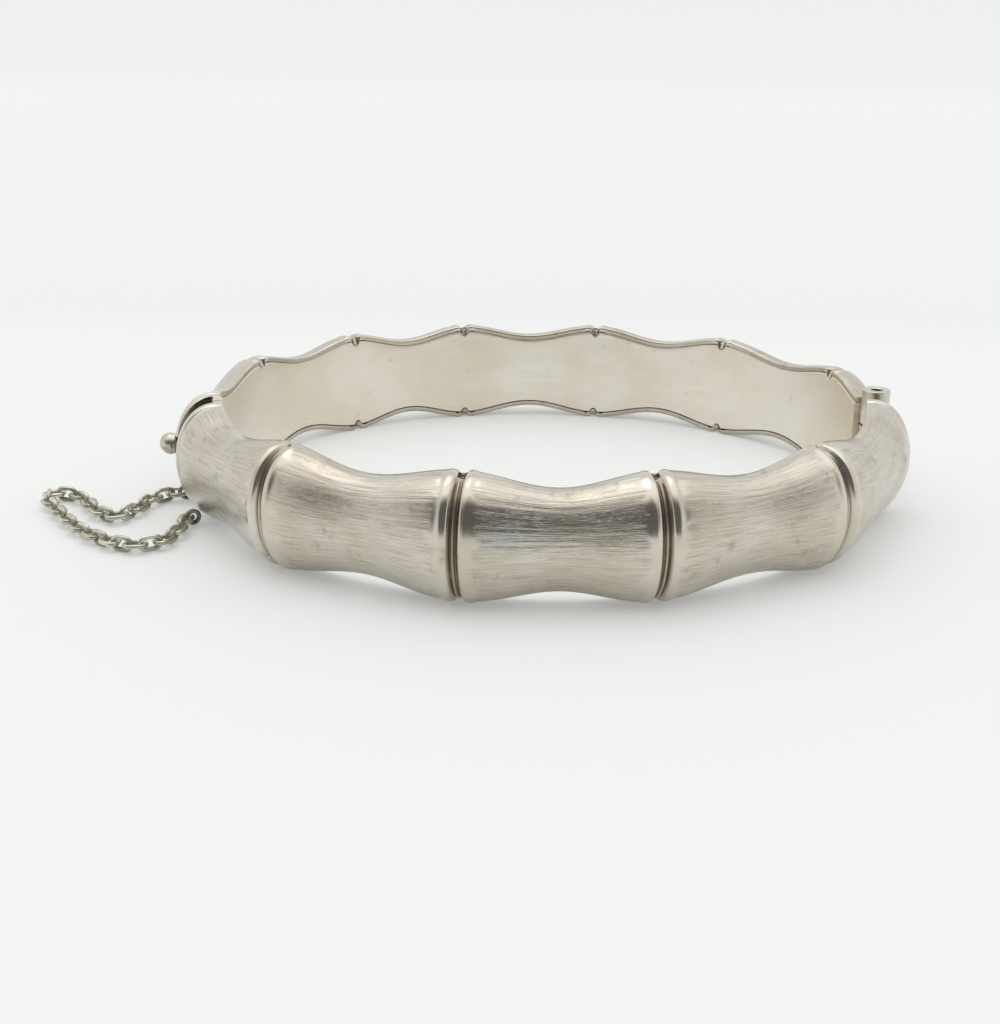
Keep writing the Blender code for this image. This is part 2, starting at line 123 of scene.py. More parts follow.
def oval_speed(angle):
    """Millimetres along the inner wall for each degree."""
    turn = math.radians(angle)
    return math.radians(math.hypot(INNER_X * math.sin(turn), INNER_Y * math.cos(turn)))


def place_at(angle, depth, height):
    """A frame on the oval in metres: X outward, Y the way angles grow, Z up."""
    foot, normal = oval_foot(angle)
    spot = foot + normal * depth
    out = Vector((*normal, 0))
    along = Vector((0, 0, 1)).cross(out)
    turn = Matrix((out, along, Vector((0, 0, 1)))).transposed().to_4x4()
    return Matrix.Translation(Vector((*spot, height)) * MM) @ turn


def smooth(low, high, value):
    """0 below low, 1 above high, and a smooth step between."""
    share = np.clip((value - low) / (high - low), 0, 1)
    return share * share * (3 - 2 * share)


LATTICE = np.random.default_rng(7).random((256, 256)) * 2 - 1


def lattice_noise(u, v):
    """Smooth noise from -1 to 1 with features about one unit across."""
    iu, iv = np.floor(u).astype(int), np.floor(v).astype(int)
    fu, fv = u - iu, v - iv
    fu, fv = fu * fu * (3 - 2 * fu), fv * fv * (3 - 2 * fv)
    a = LATTICE[iu % 256, iv % 256]
    b = LATTICE[(iu + 1) % 256, iv % 256]
    c = LATTICE[iu % 256, (iv + 1) % 256]
    d = LATTICE[(iu + 1) % 256, (iv + 1) % 256]
    return (a * (1 - fu) + b * fu) * (1 - fv) + (c * (1 - fu) + d * fu) * fv


# ---------------------------------------------------------------- rows of a section

def section_rows(ends, nodes, rim_at_start):
    """Rows along a section, fine at the nodes: angle, waist share, distance along in
    millimetres, signed distance to the nearest node or end, and which kind it is."""
    posts = list(nodes) + [ends[1]]
    if rim_at_start:
        posts.insert(0, ends[0])
    angles = [ends[0], ends[1]]
    for post in posts:
        offsets = np.arange(-NODE_REACH, NODE_REACH + NODE_PITCH / 2, NODE_PITCH)
        angles += list(post + offsets / oval_speed(post))
    spans = list(zip(posts, posts[1:]))
    if not rim_at_start:
        spans.insert(0, (2 * ends[0] - posts[0], posts[0]))
    for low, high in spans:
        first = max(low + NODE_REACH / oval_speed(low), ends[0])
        last = high - NODE_REACH / oval_speed(high)
        steps = int((last - first) * oval_speed((low + high) / 2) / ROW_PITCH)
        angles += list(np.linspace(first, last, steps)[1:-1])
    angles = sorted(a for a in angles if ends[0] - 1e-9 <= a <= ends[1] + 1e-9)
    rows, travelled, before = [], 0.0, angles[0]
    for angle in angles:
        if rows and (angle - before) * oval_speed(angle) < NODE_PITCH / 3 and angle != ends[1]:
            continue
        travelled += (angle - before) * oval_speed(angle)
        before = angle
        low, high = next(s for s in spans if s[0] - 1e-6 <= angle <= s[1] + 1e-6)
        waist = (1 - math.cos(math.tau * (angle - low) / (high - low))) / 2
        post = min(posts, key=lambda p: abs(p - angle))
        gap = (angle - post) * oval_speed(post)
        rows.append((angle, waist, travelled, gap, post in ends))
    return rows


def swell(away, height, place, width):
    """A smooth bump of a height, centred on a place."""
    return height * math.exp(-((away - place) / width) ** 2)


def falling(away, height, first, last):
    """The full height up to the first distance, then smoothly down to 0 at the last."""
    return height * (1 - smooth(first, last, away))


def rim_profile(gap, at_end):
    """How far the surface lies inside the plain outline, and how high a ridge stands on it.
    Beside a node: a polished bead and a V-groove with a fine ridge in its bottom. At an end:
    a rim, a fine line and a bead."""
    away = abs(gap)
    if at_end:
        return swell(away, *END_LINE) + swell(away, *END_BEAD) + falling(away, *END_EDGE), 0.0
    inset = swell(away, *NODE_BEAD) + falling(away, *NODE_GROOVE)
    return inset, falling(away, *NODE_RIDGE)


def section_size(waist):
    """Half height and depth of the wall, where waist is 0 at a node and 1 midway."""
    tall = NODE_HALF_HEIGHT + (WAIST_HALF_HEIGHT - NODE_HALF_HEIGHT) * waist
    deep = NODE_DEPTH + (WAIST_DEPTH - NODE_DEPTH) * waist
    return tall, deep


# ---------------------------------------------------------------- shells and liners

def shell_outline(tall, deep):
    """The D's outer line as points with their normals, as (depth, height) pairs, from the
    lower inner corner to the upper one, and how far round the arc each lies, 0 to 1."""
    points, normals, rounds = [], [], []
    corner, reach = CORNER_ROUND, deep - FLAT_DEPTH
    for k in range(CORNER_COLUMNS):
        turn = math.pi / 2 * k / CORNER_COLUMNS
        points.append((corner * (1 - math.cos(turn)), -tall + corner * (1 - math.sin(turn))))
        normals.append((-math.cos(turn), -math.sin(turn)))
        rounds.append(-CORNER_SHARE)
    for k in range(OUTER_COLUMNS + 1):
        share = k / OUTER_COLUMNS
        turn = math.pi * share
        points.append((FLAT_DEPTH + reach * math.sin(turn), -tall * math.cos(turn)))
        normal = np.array((math.sin(turn) / reach, -math.cos(turn) / tall))
        normals.append(tuple(normal / np.linalg.norm(normal)))
        rounds.append(share)
    for k in reversed(range(CORNER_COLUMNS)):
        turn = math.pi / 2 * k / CORNER_COLUMNS
        points.append((corner * (1 - math.cos(turn)), tall - corner * (1 - math.sin(turn))))
        normals.append((-math.cos(turn), math.sin(turn)))
        rounds.append(1 + CORNER_SHARE)
    return np.array(points), np.array(normals), np.array(rounds)


def inner_outline(tall, deep):
    """The D's inner line, from the upper corner back to the lower one."""
    points = [(0.0, tall)]
    for k in range(INNER_COLUMNS + 1):
        turn = math.pi * (1 - k / INNER_COLUMNS)
        points.append((FLAT_DEPTH + (deep - FLAT_DEPTH) * math.sin(turn), -tall * math.cos(turn)))
    points.append((0.0, -tall))
    return np.array(points)


def clean(mesh, crease, merge=0.0):
    """Normals outward, doubles merged where asked, and smooth shading up to the crease."""
    shape = bmesh.new()
    shape.from_mesh(mesh)
    if merge:
        bmesh.ops.remove_doubles(shape, verts=shape.verts, dist=merge)
    bmesh.ops.recalc_face_normals(shape, faces=shape.faces)
    shape.to_mesh(mesh)
    shape.free()
    mesh.shade_smooth()
    mesh.set_sharp_from_angle(angle=crease)


def grid_mesh(name, rings, uv, attributes):
    """A closed skin over rings of points in millimetres, capped at the two ends."""
    rows, columns = len(rings), len(rings[0])
    points, uv = np.vstack(rings), np.vstack(uv)
    faces = []
    for i in range(rows - 1):
        for j in range(columns):
            k = (j + 1) % columns
            faces.append((i * columns + j, i * columns + k, (i + 1) * columns + k,
                          (i + 1) * columns + j))
    last = (rows - 1) * columns
    faces.append(tuple(range(columns - 1, -1, -1)))
    faces.append(tuple(range(last, last + columns)))
    mesh = bpy.data.meshes.new(name)
    mesh.from_pydata((points * MM).tolist(), [], faces)
    layer = mesh.uv_layers.new(name="Engraving")
    loops = np.zeros(len(mesh.loops), int)
    mesh.loops.foreach_get("vertex_index", loops)
    layer.data.foreach_set("uv", (uv[loops] / UV_MM).astype(np.float32).ravel())
    for key, values in attributes.items():
        store = mesh.attributes.new(key, "FLOAT", "POINT")
        store.data.foreach_set("value", np.concatenate(values).astype(np.float32))
    clean(mesh, SHELL_CREASE)
    return mesh


def evaluated_mesh(holder):
    """An object's mesh with its modifiers, or its curve's bevel, applied."""
    bpy.context.view_layer.update()
    depsgraph = bpy.context.evaluated_depsgraph_get()
    return bpy.data.meshes.new_from_object(holder.evaluated_get(depsgraph))


def cut_notch(mesh):
    """The mesh with the thumb-piece's notch cut through it."""
    shape = bmesh.new()
    size = (NODE_DEPTH, 2 * NOTCH_LENGTH, 2 * NOTCH_HALF_HEIGHT, 1)
    bmesh.ops.create_cube(shape, size=1.0, matrix=Matrix.Diagonal(size))
    bmesh.ops.scale(shape, vec=(MM, MM, MM), verts=shape.verts)
    box = bpy.data.meshes.new("notch")
    shape.to_mesh(box)
    shape.free()
    cutter = bpy.data.objects.new("notch_cutter", box)
    cutter.matrix_world = place_at(BACK_ENDS[1], NODE_DEPTH, THUMB_HEIGHT)
    holder = bpy.data.objects.new("notch_holder", mesh)
    for each in (cutter, holder):
        bpy.context.scene.collection.objects.link(each)
    boolean = holder.modifiers.new("notch", "BOOLEAN")
    boolean.operation = "DIFFERENCE"
    boolean.object = cutter
    done = evaluated_mesh(holder)
    for each in (cutter, holder):
        bpy.data.objects.remove(each)
    done.set_sharp_from_angle(angle=SHELL_CREASE)
    return done


def put(name, data, material, body, place=None, stands_for=()):
    """A named piece that rides on a CAD body and stands for some of its nodes."""
    piece = bpy.data.objects.new(name, data)
    bpy.context.scene.collection.objects.link(piece)
    data.materials.append(material)
    piece.matrix_world = place or Matrix.Identity(4)
    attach(piece, body)
    if stands_for:
        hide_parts(*stands_for)
    return piece


def shell(side, ends, nodes, rim_at_start, seed):
    """One section's outer shell: bamboo outline, beads, grooves and engraved bark."""
    points, uv, polish, patina_and_painted_shade = [], [], [], []
    for angle, waist, travelled, gap, at_end in section_rows(ends, nodes, rim_at_start):
        inset, ridge = rim_profile(gap, at_end)
        edge_share = END_SHARE if at_end else NODE_SHARE
        tall, deep = section_size(waist)
        outer, normals, rounds = shell_outline(tall, deep)
        across = rounds * ARC_LENGTH
        along = np.full_like(across, travelled + seed * 37.0)
        edge_fade = smooth(-CORNER_SHARE, 0.01, rounds)
        edge_fade = edge_fade * (1 - smooth(0.99, 1 + CORNER_SHARE, rounds))
        outside = smooth(0.0, EDGE_ARC, rounds) * (1 - smooth(1 - EDGE_ARC, 1.0, rounds))
        deepening = edge_share + (1 - edge_share) * outside
        ragged = BARK_RAGGED * lattice_noise(along * 0.3 + 90, across * 1.6)
        start = BARK_START + BARK_LATER * at_end
        bark = smooth(start, BARK_FULL, abs(gap) + ragged) * edge_fade
        streaks = lattice_noise(along / STREAK_LONG, across / STREAK_WIDE)
        streaks += HAIR_SHARE * lattice_noise(along / HAIR_LONG + 31, across / HAIR_WIDE)
        dents = lattice_noise(along / DENT_SIZE + 11, across / DENT_SIZE)
        depth = inset * deepening - ridge * outside
        depth += (STREAK_DEPTH * streaks + DENT_DEPTH * dents) * bark
        outer = outer - normals * depth[:, None]
        inside = inset * edge_share + SHEET
        inner = inner_outline(tall - inside, deep - inside)
        ring = np.vstack((outer, inner))
        foot, normal = oval_foot(angle)
        spot = foot + ring[:, :1] * normal
        points.append(np.column_stack((spot, MID_Z + ring[:, 1])))
        uv.append(np.column_stack((np.full(len(ring), along[0]),
                                   np.append(across, np.linspace(ARC_LENGTH, 0, len(inner))))))
        polish.append(np.append(1 - bark, np.ones(len(inner))))
        groove_patina_and_foot_shade = smooth(*GROOVE_SOOT, inset - ridge) * (FLAT_SOOT + (1 - FLAT_SOOT) * outside)
        # Painted shade: the lower edge is darkened as the table's reflected shadow, on top of the
        # patina in the grooves.
        groove_patina_and_foot_shade = np.maximum(groove_patina_and_foot_shade, falling(rounds, *FOOT_PAINTED_SHADE))
        patina_and_painted_shade.append(np.append(groove_patina_and_foot_shade, np.full(len(inner), INSIDE_PATINA)))
    # This attribute carries the patina of the grooves and the painted shade of the lower edge.
    mesh = grid_mesh(f"{side}_bark_shell", points, uv, {"polish": polish, "patina_and_painted_shade": patina_and_painted_shade})
    if side == "back":
        mesh = cut_notch(mesh)
    return put(f"{side}_bark_shell", mesh, BARK, f"{side}_section",
               stands_for=(f"{side}_shell",))


def liner(side, ends, nodes, rim_at_start, seed):
    """One section's smooth inner wall, with a softly rounded edge."""
    points, uv = [], []
    for angle, waist, travelled, gap, at_end in section_rows(ends, nodes, rim_at_start):
        inset = (END_SHARE if at_end else NODE_SHARE) * max(0.0, rim_profile(gap, at_end)[0])
        edge = section_size(waist)[0] - inset - SHEET - SEAM
        inner = edge - LINER_ROUND
        turns = np.linspace(0, math.pi / 2, 5)
        lower = np.column_stack((LINER_ROUND * (1 - np.sin(turns)),
                                 -inner - LINER_ROUND * np.cos(turns)))
        heights = np.linspace(-inner, inner, LINER_COLUMNS + 2)[1:-1]
        waves = LINER_WAVE * lattice_noise(
            np.full(LINER_COLUMNS, travelled / 4 + seed * 9), heights / 2.5 + 50)
        upper = lower[::-1] * (1, -1)
        ring = np.vstack(((LINER_SHEET, -edge), lower, np.column_stack((waves, heights)),
                          upper, (LINER_SHEET, edge)))
        foot, normal = oval_foot(angle)
        points.append(np.column_stack((foot + ring[:, :1] * normal, MID_Z + ring[:, 1])))
        uv.append(np.column_stack((np.full(len(ring), travelled + seed * 50.0), ring[:, 1])))
    mesh = grid_mesh(f"{side}_inner_wall", points, uv, {})
    return put(f"{side}_inner_wall", mesh, SATIN, f"{side}_section",
               stands_for=(f"{side}_liner",))


# ---------------------------------------------------------------- materials

class Tree:
    """A node tree, with short calls for the nodes used here."""

    def __init__(self, owner, shader="Principled BSDF"):
        owner.use_nodes = True
        self.tree = owner.node_tree
        self.shader = self.tree.nodes[shader]

    def node(self, kind, **values):
        """A new node with these settings."""
        made = self.tree.nodes.new(kind)
        for key, value in values.items():
            setattr(made, key, value)
        return made

    def link(self, out, into):
        self.tree.links.new(out, into)

    def fill(self, socket, value):
        """Links another node's output to a socket, or sets its value."""
        if hasattr(value, "is_linked"):
            self.link(value, socket)
        else:
            socket.default_value = value

    def math(self, operation, a, b=0.0, clamp=False):
        made = self.node("ShaderNodeMath", operation=operation, use_clamp=clamp)
        self.fill(made.inputs[0], a)
        self.fill(made.inputs[1], b)
        return made.outputs[0]

    def ranged(self, value, low, high, to_low, to_high):
        """A smooth step from to_low to to_high, while the value goes from low to high."""
        made = self.node("ShaderNodeMapRange", interpolation_type="SMOOTHSTEP")
        for socket, given in zip(made.inputs, (value, low, high, to_low, to_high)):
            self.fill(socket, given)
        return made.outputs[0]

    def blend(self, share, a, b):
        """Colour a, with this share of b in it."""
        made = self.node("ShaderNodeMix", data_type="RGBA")
        self.fill(made.inputs["Factor"], share)
        colours = [s for s in made.inputs if s.type == "RGBA"]
        self.fill(colours[0], a)
        self.fill(colours[1], b)
        return next(s for s in made.outputs if s.type == "RGBA")

    def axes(self, coordinates):
        """X, Y and Z of one of the texture coordinates."""
        split = self.node("ShaderNodeSeparateXYZ")
        self.link(self.node("ShaderNodeTexCoord").outputs[coordinates], split.inputs[0])
        return split.outputs

    def attribute(self, name):
        return self.node("ShaderNodeAttribute", attribute_name=name).outputs["Fac"]

    def object_point(self, scale):
        """The point in the object, in units of 1 / scale metres."""
        coordinates = self.node("ShaderNodeTexCoord")
        mapping = self.node("ShaderNodeMapping")
        self.link(coordinates.outputs["Object"], mapping.inputs["Vector"])
        mapping.inputs["Scale"].default_value = (scale,) * 3
        return mapping.outputs[0]

    def distance(self, middle, reach):
        """How far a point of the object is from the middle, as a share of the reach."""
        coordinates = self.node("ShaderNodeTexCoord").outputs["Object"]
        away = self.node("ShaderNodeVectorMath", operation="SUBTRACT")
        self.link(coordinates, away.inputs[0])
        away.inputs[1].default_value = middle
        share = self.node("ShaderNodeVectorMath", operation="DIVIDE")
        self.link(away.outputs[0], share.inputs[0])
        share.inputs[1].default_value = reach
        length = self.node("ShaderNodeVectorMath", operation="LENGTH")
        self.link(share.outputs[0], length.inputs[0])
        return length.outputs["Value"]

    def engraving_point(self, along, across):
        """The engraving's map, with so many units for each millimetre."""
        uv = self.node("ShaderNodeUVMap", uv_map="Engraving")
        mapping = self.node("ShaderNodeMapping")
        self.link(uv.outputs[0], mapping.inputs["Vector"])
        mapping.inputs["Scale"].default_value = (along * UV_MM, across * UV_MM, 1)
        return mapping.outputs[0]

    def noise(self, point, detail=2.0, roughness=0.5, distortion=0.0):
        """Noise at a point that is already scaled."""
        made = self.node("ShaderNodeTexNoise")
        self.link(point, made.inputs["Vector"])
        made.inputs["Scale"].default_value = 1.0
        made.inputs["Detail"].default_value = detail
        made.inputs["Roughness"].default_value = roughness
        made.inputs["Distortion"].default_value = distortion
        return made.outputs[0]

    def bump(self, height, strength, distance_mm):
        """Gives the material this relief."""
        made = self.node("ShaderNodeBump")
        self.fill(made.inputs["Strength"], strength)
        made.inputs["Distance"].default_value = distance_mm * MM
        self.link(height, made.inputs["Height"])
        self.link(made.outputs[0], self.shader.inputs["Normal"])


def metal(name):
    """A new all-metal material and its tree."""
    material = bpy.data.materials.new(name)
    t = Tree(material)
    t.shader.inputs["Metallic"].default_value = 1.0
    return material, t


SILVER = (0.70, 0.655, 0.58, 1)
WARM_SILVER = (0.61, 0.555, 0.46, 1)
COOL_SILVER = (0.62, 0.67, 0.68, 1)
SATIN_PALE, SATIN_YELLOW = (0.89, 0.85, 0.775, 1), (0.845, 0.775, 0.655, 1)
TARNISH = (0.34, 0.305, 0.25, 1)
# A brown for the patina in the grooves, used as well as painted shade along the shell's lower edge.
PATINA_AND_SHADE_BROWN = (0.225, 0.185, 0.135, 1)
# Where the third segment looks bluish, and how far that reaches, in metres.
COOL_PATCH, COOL_REACH = (-0.0028, -0.030, 0.0066), (0.0034, 0.004, 0.0020)


def bark_material():
    """Engraved silver: polished beads, brown grooves, some tarnish and painted shade at the foot.
    """
    material, t = metal("bark_silver_fine")
    polish, patina_and_painted_shade = t.attribute("polish"), t.attribute("patina_and_painted_shade")
    lines = t.noise(t.engraving_point(0.34, 9.0), detail=3, roughness=0.55)
    hairs = t.noise(t.engraving_point(0.8, 17.0), detail=2, roughness=0.6)
    nicks = t.noise(t.engraving_point(2.4, 6.0), detail=2)
    clouds = t.noise(t.object_point(140), detail=3, roughness=0.6)
    stains = t.noise(t.object_point(420), detail=4, roughness=0.65)
    cut = t.math("SUBTRACT", 1.0, polish)
    colour = t.blend(t.ranged(clouds, 0.35, 0.68, 0.0, 1.0), SILVER, WARM_SILVER)
    colour = t.blend(t.ranged(t.distance(COOL_PATCH, COOL_REACH), 0.1, 1.0, 0.5, 0.0),
                     colour, COOL_SILVER)
    in_lines = t.math("MULTIPLY", t.ranged(lines, 0.38, 0.54, 0.44, 0.0), cut)
    colour = t.blend(in_lines, colour, TARNISH)
    stained = t.ranged(stains, 0.58, 0.74, 0.0, 0.6)
    colour = t.blend(stained, colour, TARNISH)
    # Brown patina in the grooves and painted shade along the lower edge, both from the same
    # attribute.
    colour = t.blend(t.math("MULTIPLY", patina_and_painted_shade, t.ranged(stains, 0.25, 0.55, 0.6, 1.0)),
                     colour, PATINA_AND_SHADE_BROWN)
    t.link(colour, t.shader.inputs["Base Color"])
    rough = t.ranged(clouds, 0.3, 0.7, 0.19, 0.28)
    rough = t.math("SUBTRACT", rough, t.math("MULTIPLY", polish, 0.05))
    rough = t.math("ADD", rough, t.math("MULTIPLY", stained, 0.25))
    rough = t.math("ADD", rough, t.math("MULTIPLY", patina_and_painted_shade, 0.25), clamp=True)
    t.link(rough, t.shader.inputs["Roughness"])
    height = t.math("ADD", lines, t.math("MULTIPLY", hairs, 0.55))
    height = t.math("ADD", height, t.math("MULTIPLY", t.ranged(nicks, 0.62, 0.72, 0, 1), -0.25))
    strength = t.math("ADD", t.math("MULTIPLY", cut, 0.5), 0.04)
    t.bump(height, strength, 0.045)
    return material


def satin_material():
    """The inner wall: satin silver, slightly yellowed and rubbed along its length."""
    material, t = metal("satin_silver_fine")
    rub = t.noise(t.engraving_point(0.15, 5.0), detail=3, roughness=0.6)
    clouds = t.noise(t.object_point(110), detail=3, roughness=0.6)
    specks = t.noise(t.object_point(900), detail=2)
    colour = t.blend(t.ranged(clouds, 0.36, 0.66, 0, 1), SATIN_PALE, SATIN_YELLOW)
    colour = t.blend(t.ranged(specks, 0.68, 0.80, 0, 0.25), colour, TARNISH)
    t.link(colour, t.shader.inputs["Base Color"])
    t.link(t.ranged(rub, 0.3, 0.7, 0.34, 0.46), t.shader.inputs["Roughness"])
    t.bump(rub, 0.12, 0.05)
    return material


def worn_metal(name, bright, dark, rough, tarnish):
    """Plain silver for the small parts: worn, with tarnish in patches and fine scratches."""
    material, t = metal(name)
    patches = t.noise(t.object_point(500), detail=4, roughness=0.62)
    scratches = t.noise(t.object_point(3000), detail=2, distortion=0.6)
    colour = t.blend(t.ranged(patches, 0.38, 0.66, 0, tarnish), bright, dark)
    t.link(colour, t.shader.inputs["Base Color"])
    t.link(t.ranged(patches, 0.35, 0.7, rough, rough + 0.14), t.shader.inputs["Roughness"])
    t.bump(t.math("ADD", patches, t.math("MULTIPLY", scratches, 0.3)), 0.12, 0.05)
    return material


# ---------------------------------------------------------------- hinge, clasp and chain

def turned(name, profile, material, body, place, stands_for, sides=72):
    """A profile of (radius, height), turned about the place's Z. One that starts off the
    axis is a closed ring."""
    rows, closed = len(profile), profile[0][0] > 0
    points, faces = [], []
    for radius, height in profile:
        for k in range(sides):
            turn = math.tau * k / sides
            points.append((radius * math.cos(turn) * MM, radius * math.sin(turn) * MM, height * MM))
    for i in range(rows if closed else rows - 1):
        j = (i + 1) % rows
        for k in range(sides):
            nxt = (k + 1) % sides
            faces.append((i * sides + k, i * sides + nxt, j * sides + nxt, j * sides + k))
    mesh = bpy.data.meshes.new(name)
    mesh.from_pydata(points, [], faces)
    clean(mesh, TURNED_CREASE, merge=1e-7)
    return put(name, mesh, material, body, place, stands_for)


def rounded(low, high, radius, steps=4):
    """A barrel's outer line from top to bottom with rounded edges."""
    turns = [math.pi / 2 * k / steps for k in range(steps + 1)]
    line = [(radius - EDGE_ROUND * (1 - math.sin(turn)), high - EDGE_ROUND * (1 - math.cos(turn)))
            for turn in turns]
    line += [(radius - EDGE_ROUND * (1 - math.cos(turn)), low + EDGE_ROUND * (1 - math.sin(turn)))
             for turn in turns]
    return line


def hinge():
    """Three knuckles and the pin, from the heights of their CAD nodes."""
    place = place_at(HINGE_ANGLE, HINGE_DEPTH, 0)
    for name in ("lower_knuckle", "middle_knuckle", "upper_knuckle"):
        low, high = (corner.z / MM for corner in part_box(name))
        body = "front_section" if name == "middle_knuckle" else "back_section"
        mouth = BORE_RADIUS + BORE_CHAMFER
        bore = [(mouth, low), (BORE_RADIUS, low + BORE_CHAMFER), (BORE_RADIUS, high - BORE_CHAMFER)]
        profile = [(mouth, high)] + rounded(low, high, BARREL_RADIUS) + bore
        turned(f"{name}_fine", profile, POLISHED, body, place, (name,))
    low, high = (corner.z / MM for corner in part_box("hinge_pin"))
    profile = [(0.0, high)] + rounded(low, high, PIN_RADIUS) + [(0.0, low)]
    turned("hinge_pin_fine", profile, DARK, "back_section", place, ("hinge_pin",),
           sides=48)


def thumb_piece():
    """The clasp's ball on its neck, with a fine turned line."""
    place = place_at(THUMB_ANGLE, THUMB_DEPTH, THUMB_HEIGHT)
    out = place.to_3x3().col[0]
    centre = place.translation
    foot = min((Vector(p) - centre).dot(out) for p in node_points("thumb_piece")) / MM
    profile = []
    for k in range(BALL_STEPS + 1):
        turn = math.radians(BALL_TURN) * k / BALL_STEPS
        radius = THUMB_RADIUS - swell(k, BALL_LINE_DEPTH, BALL_LINE, 0.8)
        profile.append((radius * math.sin(turn), radius * math.cos(turn)))
    neck_top = profile[-1][1] - NECK_STEP
    profile += [(NECK_RADIUS, neck_top), (NECK_RADIUS, foot), (0.0, foot)]
    turn = out.to_track_quat("Z", "Y").to_matrix().to_4x4()
    turned("thumb_piece_fine", profile, SATIN_BALL, "clasp_spring",
           Matrix.Translation(centre) @ turn, ("thumb_piece",), sides=48)


def wire(name, points, material, body, place, stands_for):
    """A closed ring of the chain's wire through points in the place's XY plane."""
    curve = bpy.data.curves.new(name, "CURVE")
    curve.dimensions = "3D"
    curve.bevel_depth = LINK_WIRE / 2 * MM
    curve.bevel_resolution = 4
    spline = curve.splines.new("POLY")
    spline.points.add(len(points) - 1)
    for point, (x, y) in zip(spline.points, points):
        point.co = (x * MM, y * MM, 0, 1)
    spline.use_cyclic_u = True
    holder = bpy.data.objects.new(name + "_path", curve)
    bpy.context.scene.collection.objects.link(holder)
    mesh = evaluated_mesh(holder)
    bpy.data.objects.remove(holder)
    mesh.name = name
    mesh.shade_smooth()
    mesh.materials.clear()
    return put(name, mesh, material, body, place, stands_for)


def oval_line(steps=10):
    """A link's middle line: two half rounds joined by straight sides."""
    radius = (LINK_WIDTH - LINK_WIRE) / 2
    centre = (LINK_LENGTH - LINK_WIRE) / 2 - radius
    line = []
    for side, first in ((1, -90), (-1, 90)):
        for k in range(steps + 1):
            turn = math.radians(first + 180 * k / steps)
            line.append((side * centre + radius * math.cos(turn), radius * math.sin(turn)))
    return line


def round_line(reach, rise, steps=28):
    """An ellipse with these half axes."""
    return [(reach * math.cos(math.tau * k / steps), rise * math.sin(math.tau * k / steps))
            for k in range(steps)]


def node_points(name):
    """A CAD node's vertices, in metres."""
    return np.array([tuple(v.co) for v in frame["nodes"][name].data.vertices])


def long_axis(points):
    """The flat direction in which a link's points lie furthest apart."""
    flat = points[:, :2] - points[:, :2].mean(0)
    return np.linalg.eigh(flat.T @ flat)[1][:, -1]


def lying_along(middle, axis):
    """A frame at a middle, with X along a flat direction."""
    return Matrix.Translation(middle) @ Matrix.Rotation(math.atan2(axis[1], axis[0]), 4, "Z")


UPRIGHT = Matrix.Rotation(math.radians(90), 4, "X")


def chain():
    """Fine wire links and loops in the places of the CAD ones, each on its own body."""
    bodies = {name: body for body, nodes in frame["record"]["behaviour"]["bodies"].items()
              for name in nodes if name.startswith("chain_")}
    for index, (name, body) in enumerate(sorted(bodies.items())):
        low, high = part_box(name)
        place, line = Matrix.Translation((low + high) / 2), round_line(RING_RADIUS, RING_RADIUS)
        if name.startswith("chain_link"):
            place, line = lying_along((low + high) / 2, long_axis(node_points(name))), oval_line()
            if high.z - low.z > LINK_WIRE * 2 * MM:
                place = place @ UPRIGHT
        material = LINK_SILVERS[index % len(LINK_SILVERS)]
        wire(f"{name}_fine", line, material, body, place, (name,))
    for name, body in (("front_chain_loop", "front_section"), ("back_chain_loop", "back_section")):
        low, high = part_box(name)
        axis = long_axis(node_points(name))
        reach = (node_points(name)[:, :2] - np.array((low + high)[:2]) / 2) @ axis
        half = np.abs(reach).max() / MM - LINK_WIRE / 2
        rise = (high.z - low.z) / 2 / MM - LINK_WIRE / 2
        place = lying_along((low + high) / 2, axis) @ UPRIGHT
        wire(f"{name}_fine", round_line(half, rise), DARK, body, place, (name,))


# ---------------------------------------------------------------- stage, light and camera

# The table's tone is reflected light and a little glow. Beyond its soft edge, from the first
# distance to the second in metres, there is only the backdrop's glow.
TABLE_EDGE = (0.052, 0.085)
TABLE_COLOUR, TABLE_GLOW = (0.685, 0.695, 0.69, 1), (0.257, 0.262, 0.262, 1)
BACKDROP_COLOUR, NO_COLOUR = (0.84, 0.86, 0.85, 1), (0.0, 0.0, 0.0, 1)
# The sweep in metres: half its width, where it starts and ends, its bend and its top.
SWEEP_HALF, SWEEP_FRONT, SWEEP_BACK, SWEEP_BEND, SWEEP_TOP = 1.6, -1.2, 1.2, 0.5, 1.6


def floor():
    """A pale table that sweeps up behind the bangle, in one flat tone beyond its edge."""
    material = bpy.data.materials.new("table_white")
    t = Tree(material)
    beyond = t.ranged(t.axes("Object")["Y"], *TABLE_EDGE, 0.0, 1.0)
    t.link(t.blend(beyond, TABLE_COLOUR, NO_COLOUR), t.shader.inputs["Base Color"])
    t.link(t.blend(beyond, TABLE_GLOW, BACKDROP_COLOUR), t.shader.inputs["Emission Color"])
    t.shader.inputs["Emission Strength"].default_value = 1.0
    t.shader.inputs["Roughness"].default_value = 0.7
    t.shader.inputs["Specular IOR Level"].default_value = 0.1
    flat_end = SWEEP_BACK - SWEEP_BEND
    line = [(SWEEP_FRONT, 0.0), (flat_end, 0.0)]
    line += [(flat_end + SWEEP_BEND * math.sin(a), SWEEP_BEND * (1 - math.cos(a)))
             for a in np.linspace(0.1, math.pi / 2, 14)]
    line.append((SWEEP_BACK, SWEEP_TOP))
    points = [(x, y, z) for y, z in line for x in (-SWEEP_HALF, SWEEP_HALF)]
    faces = [(2 * k, 2 * k + 1, 2 * k + 3, 2 * k + 2) for k in range(len(line) - 1)]
    mesh = bpy.data.meshes.new("table")
    mesh.from_pydata(points, [], faces)
    mesh.materials.append(material)
    mesh.shade_smooth()
    table = bpy.data.objects.new("table", mesh)
    bpy.context.scene.collection.objects.link(table)


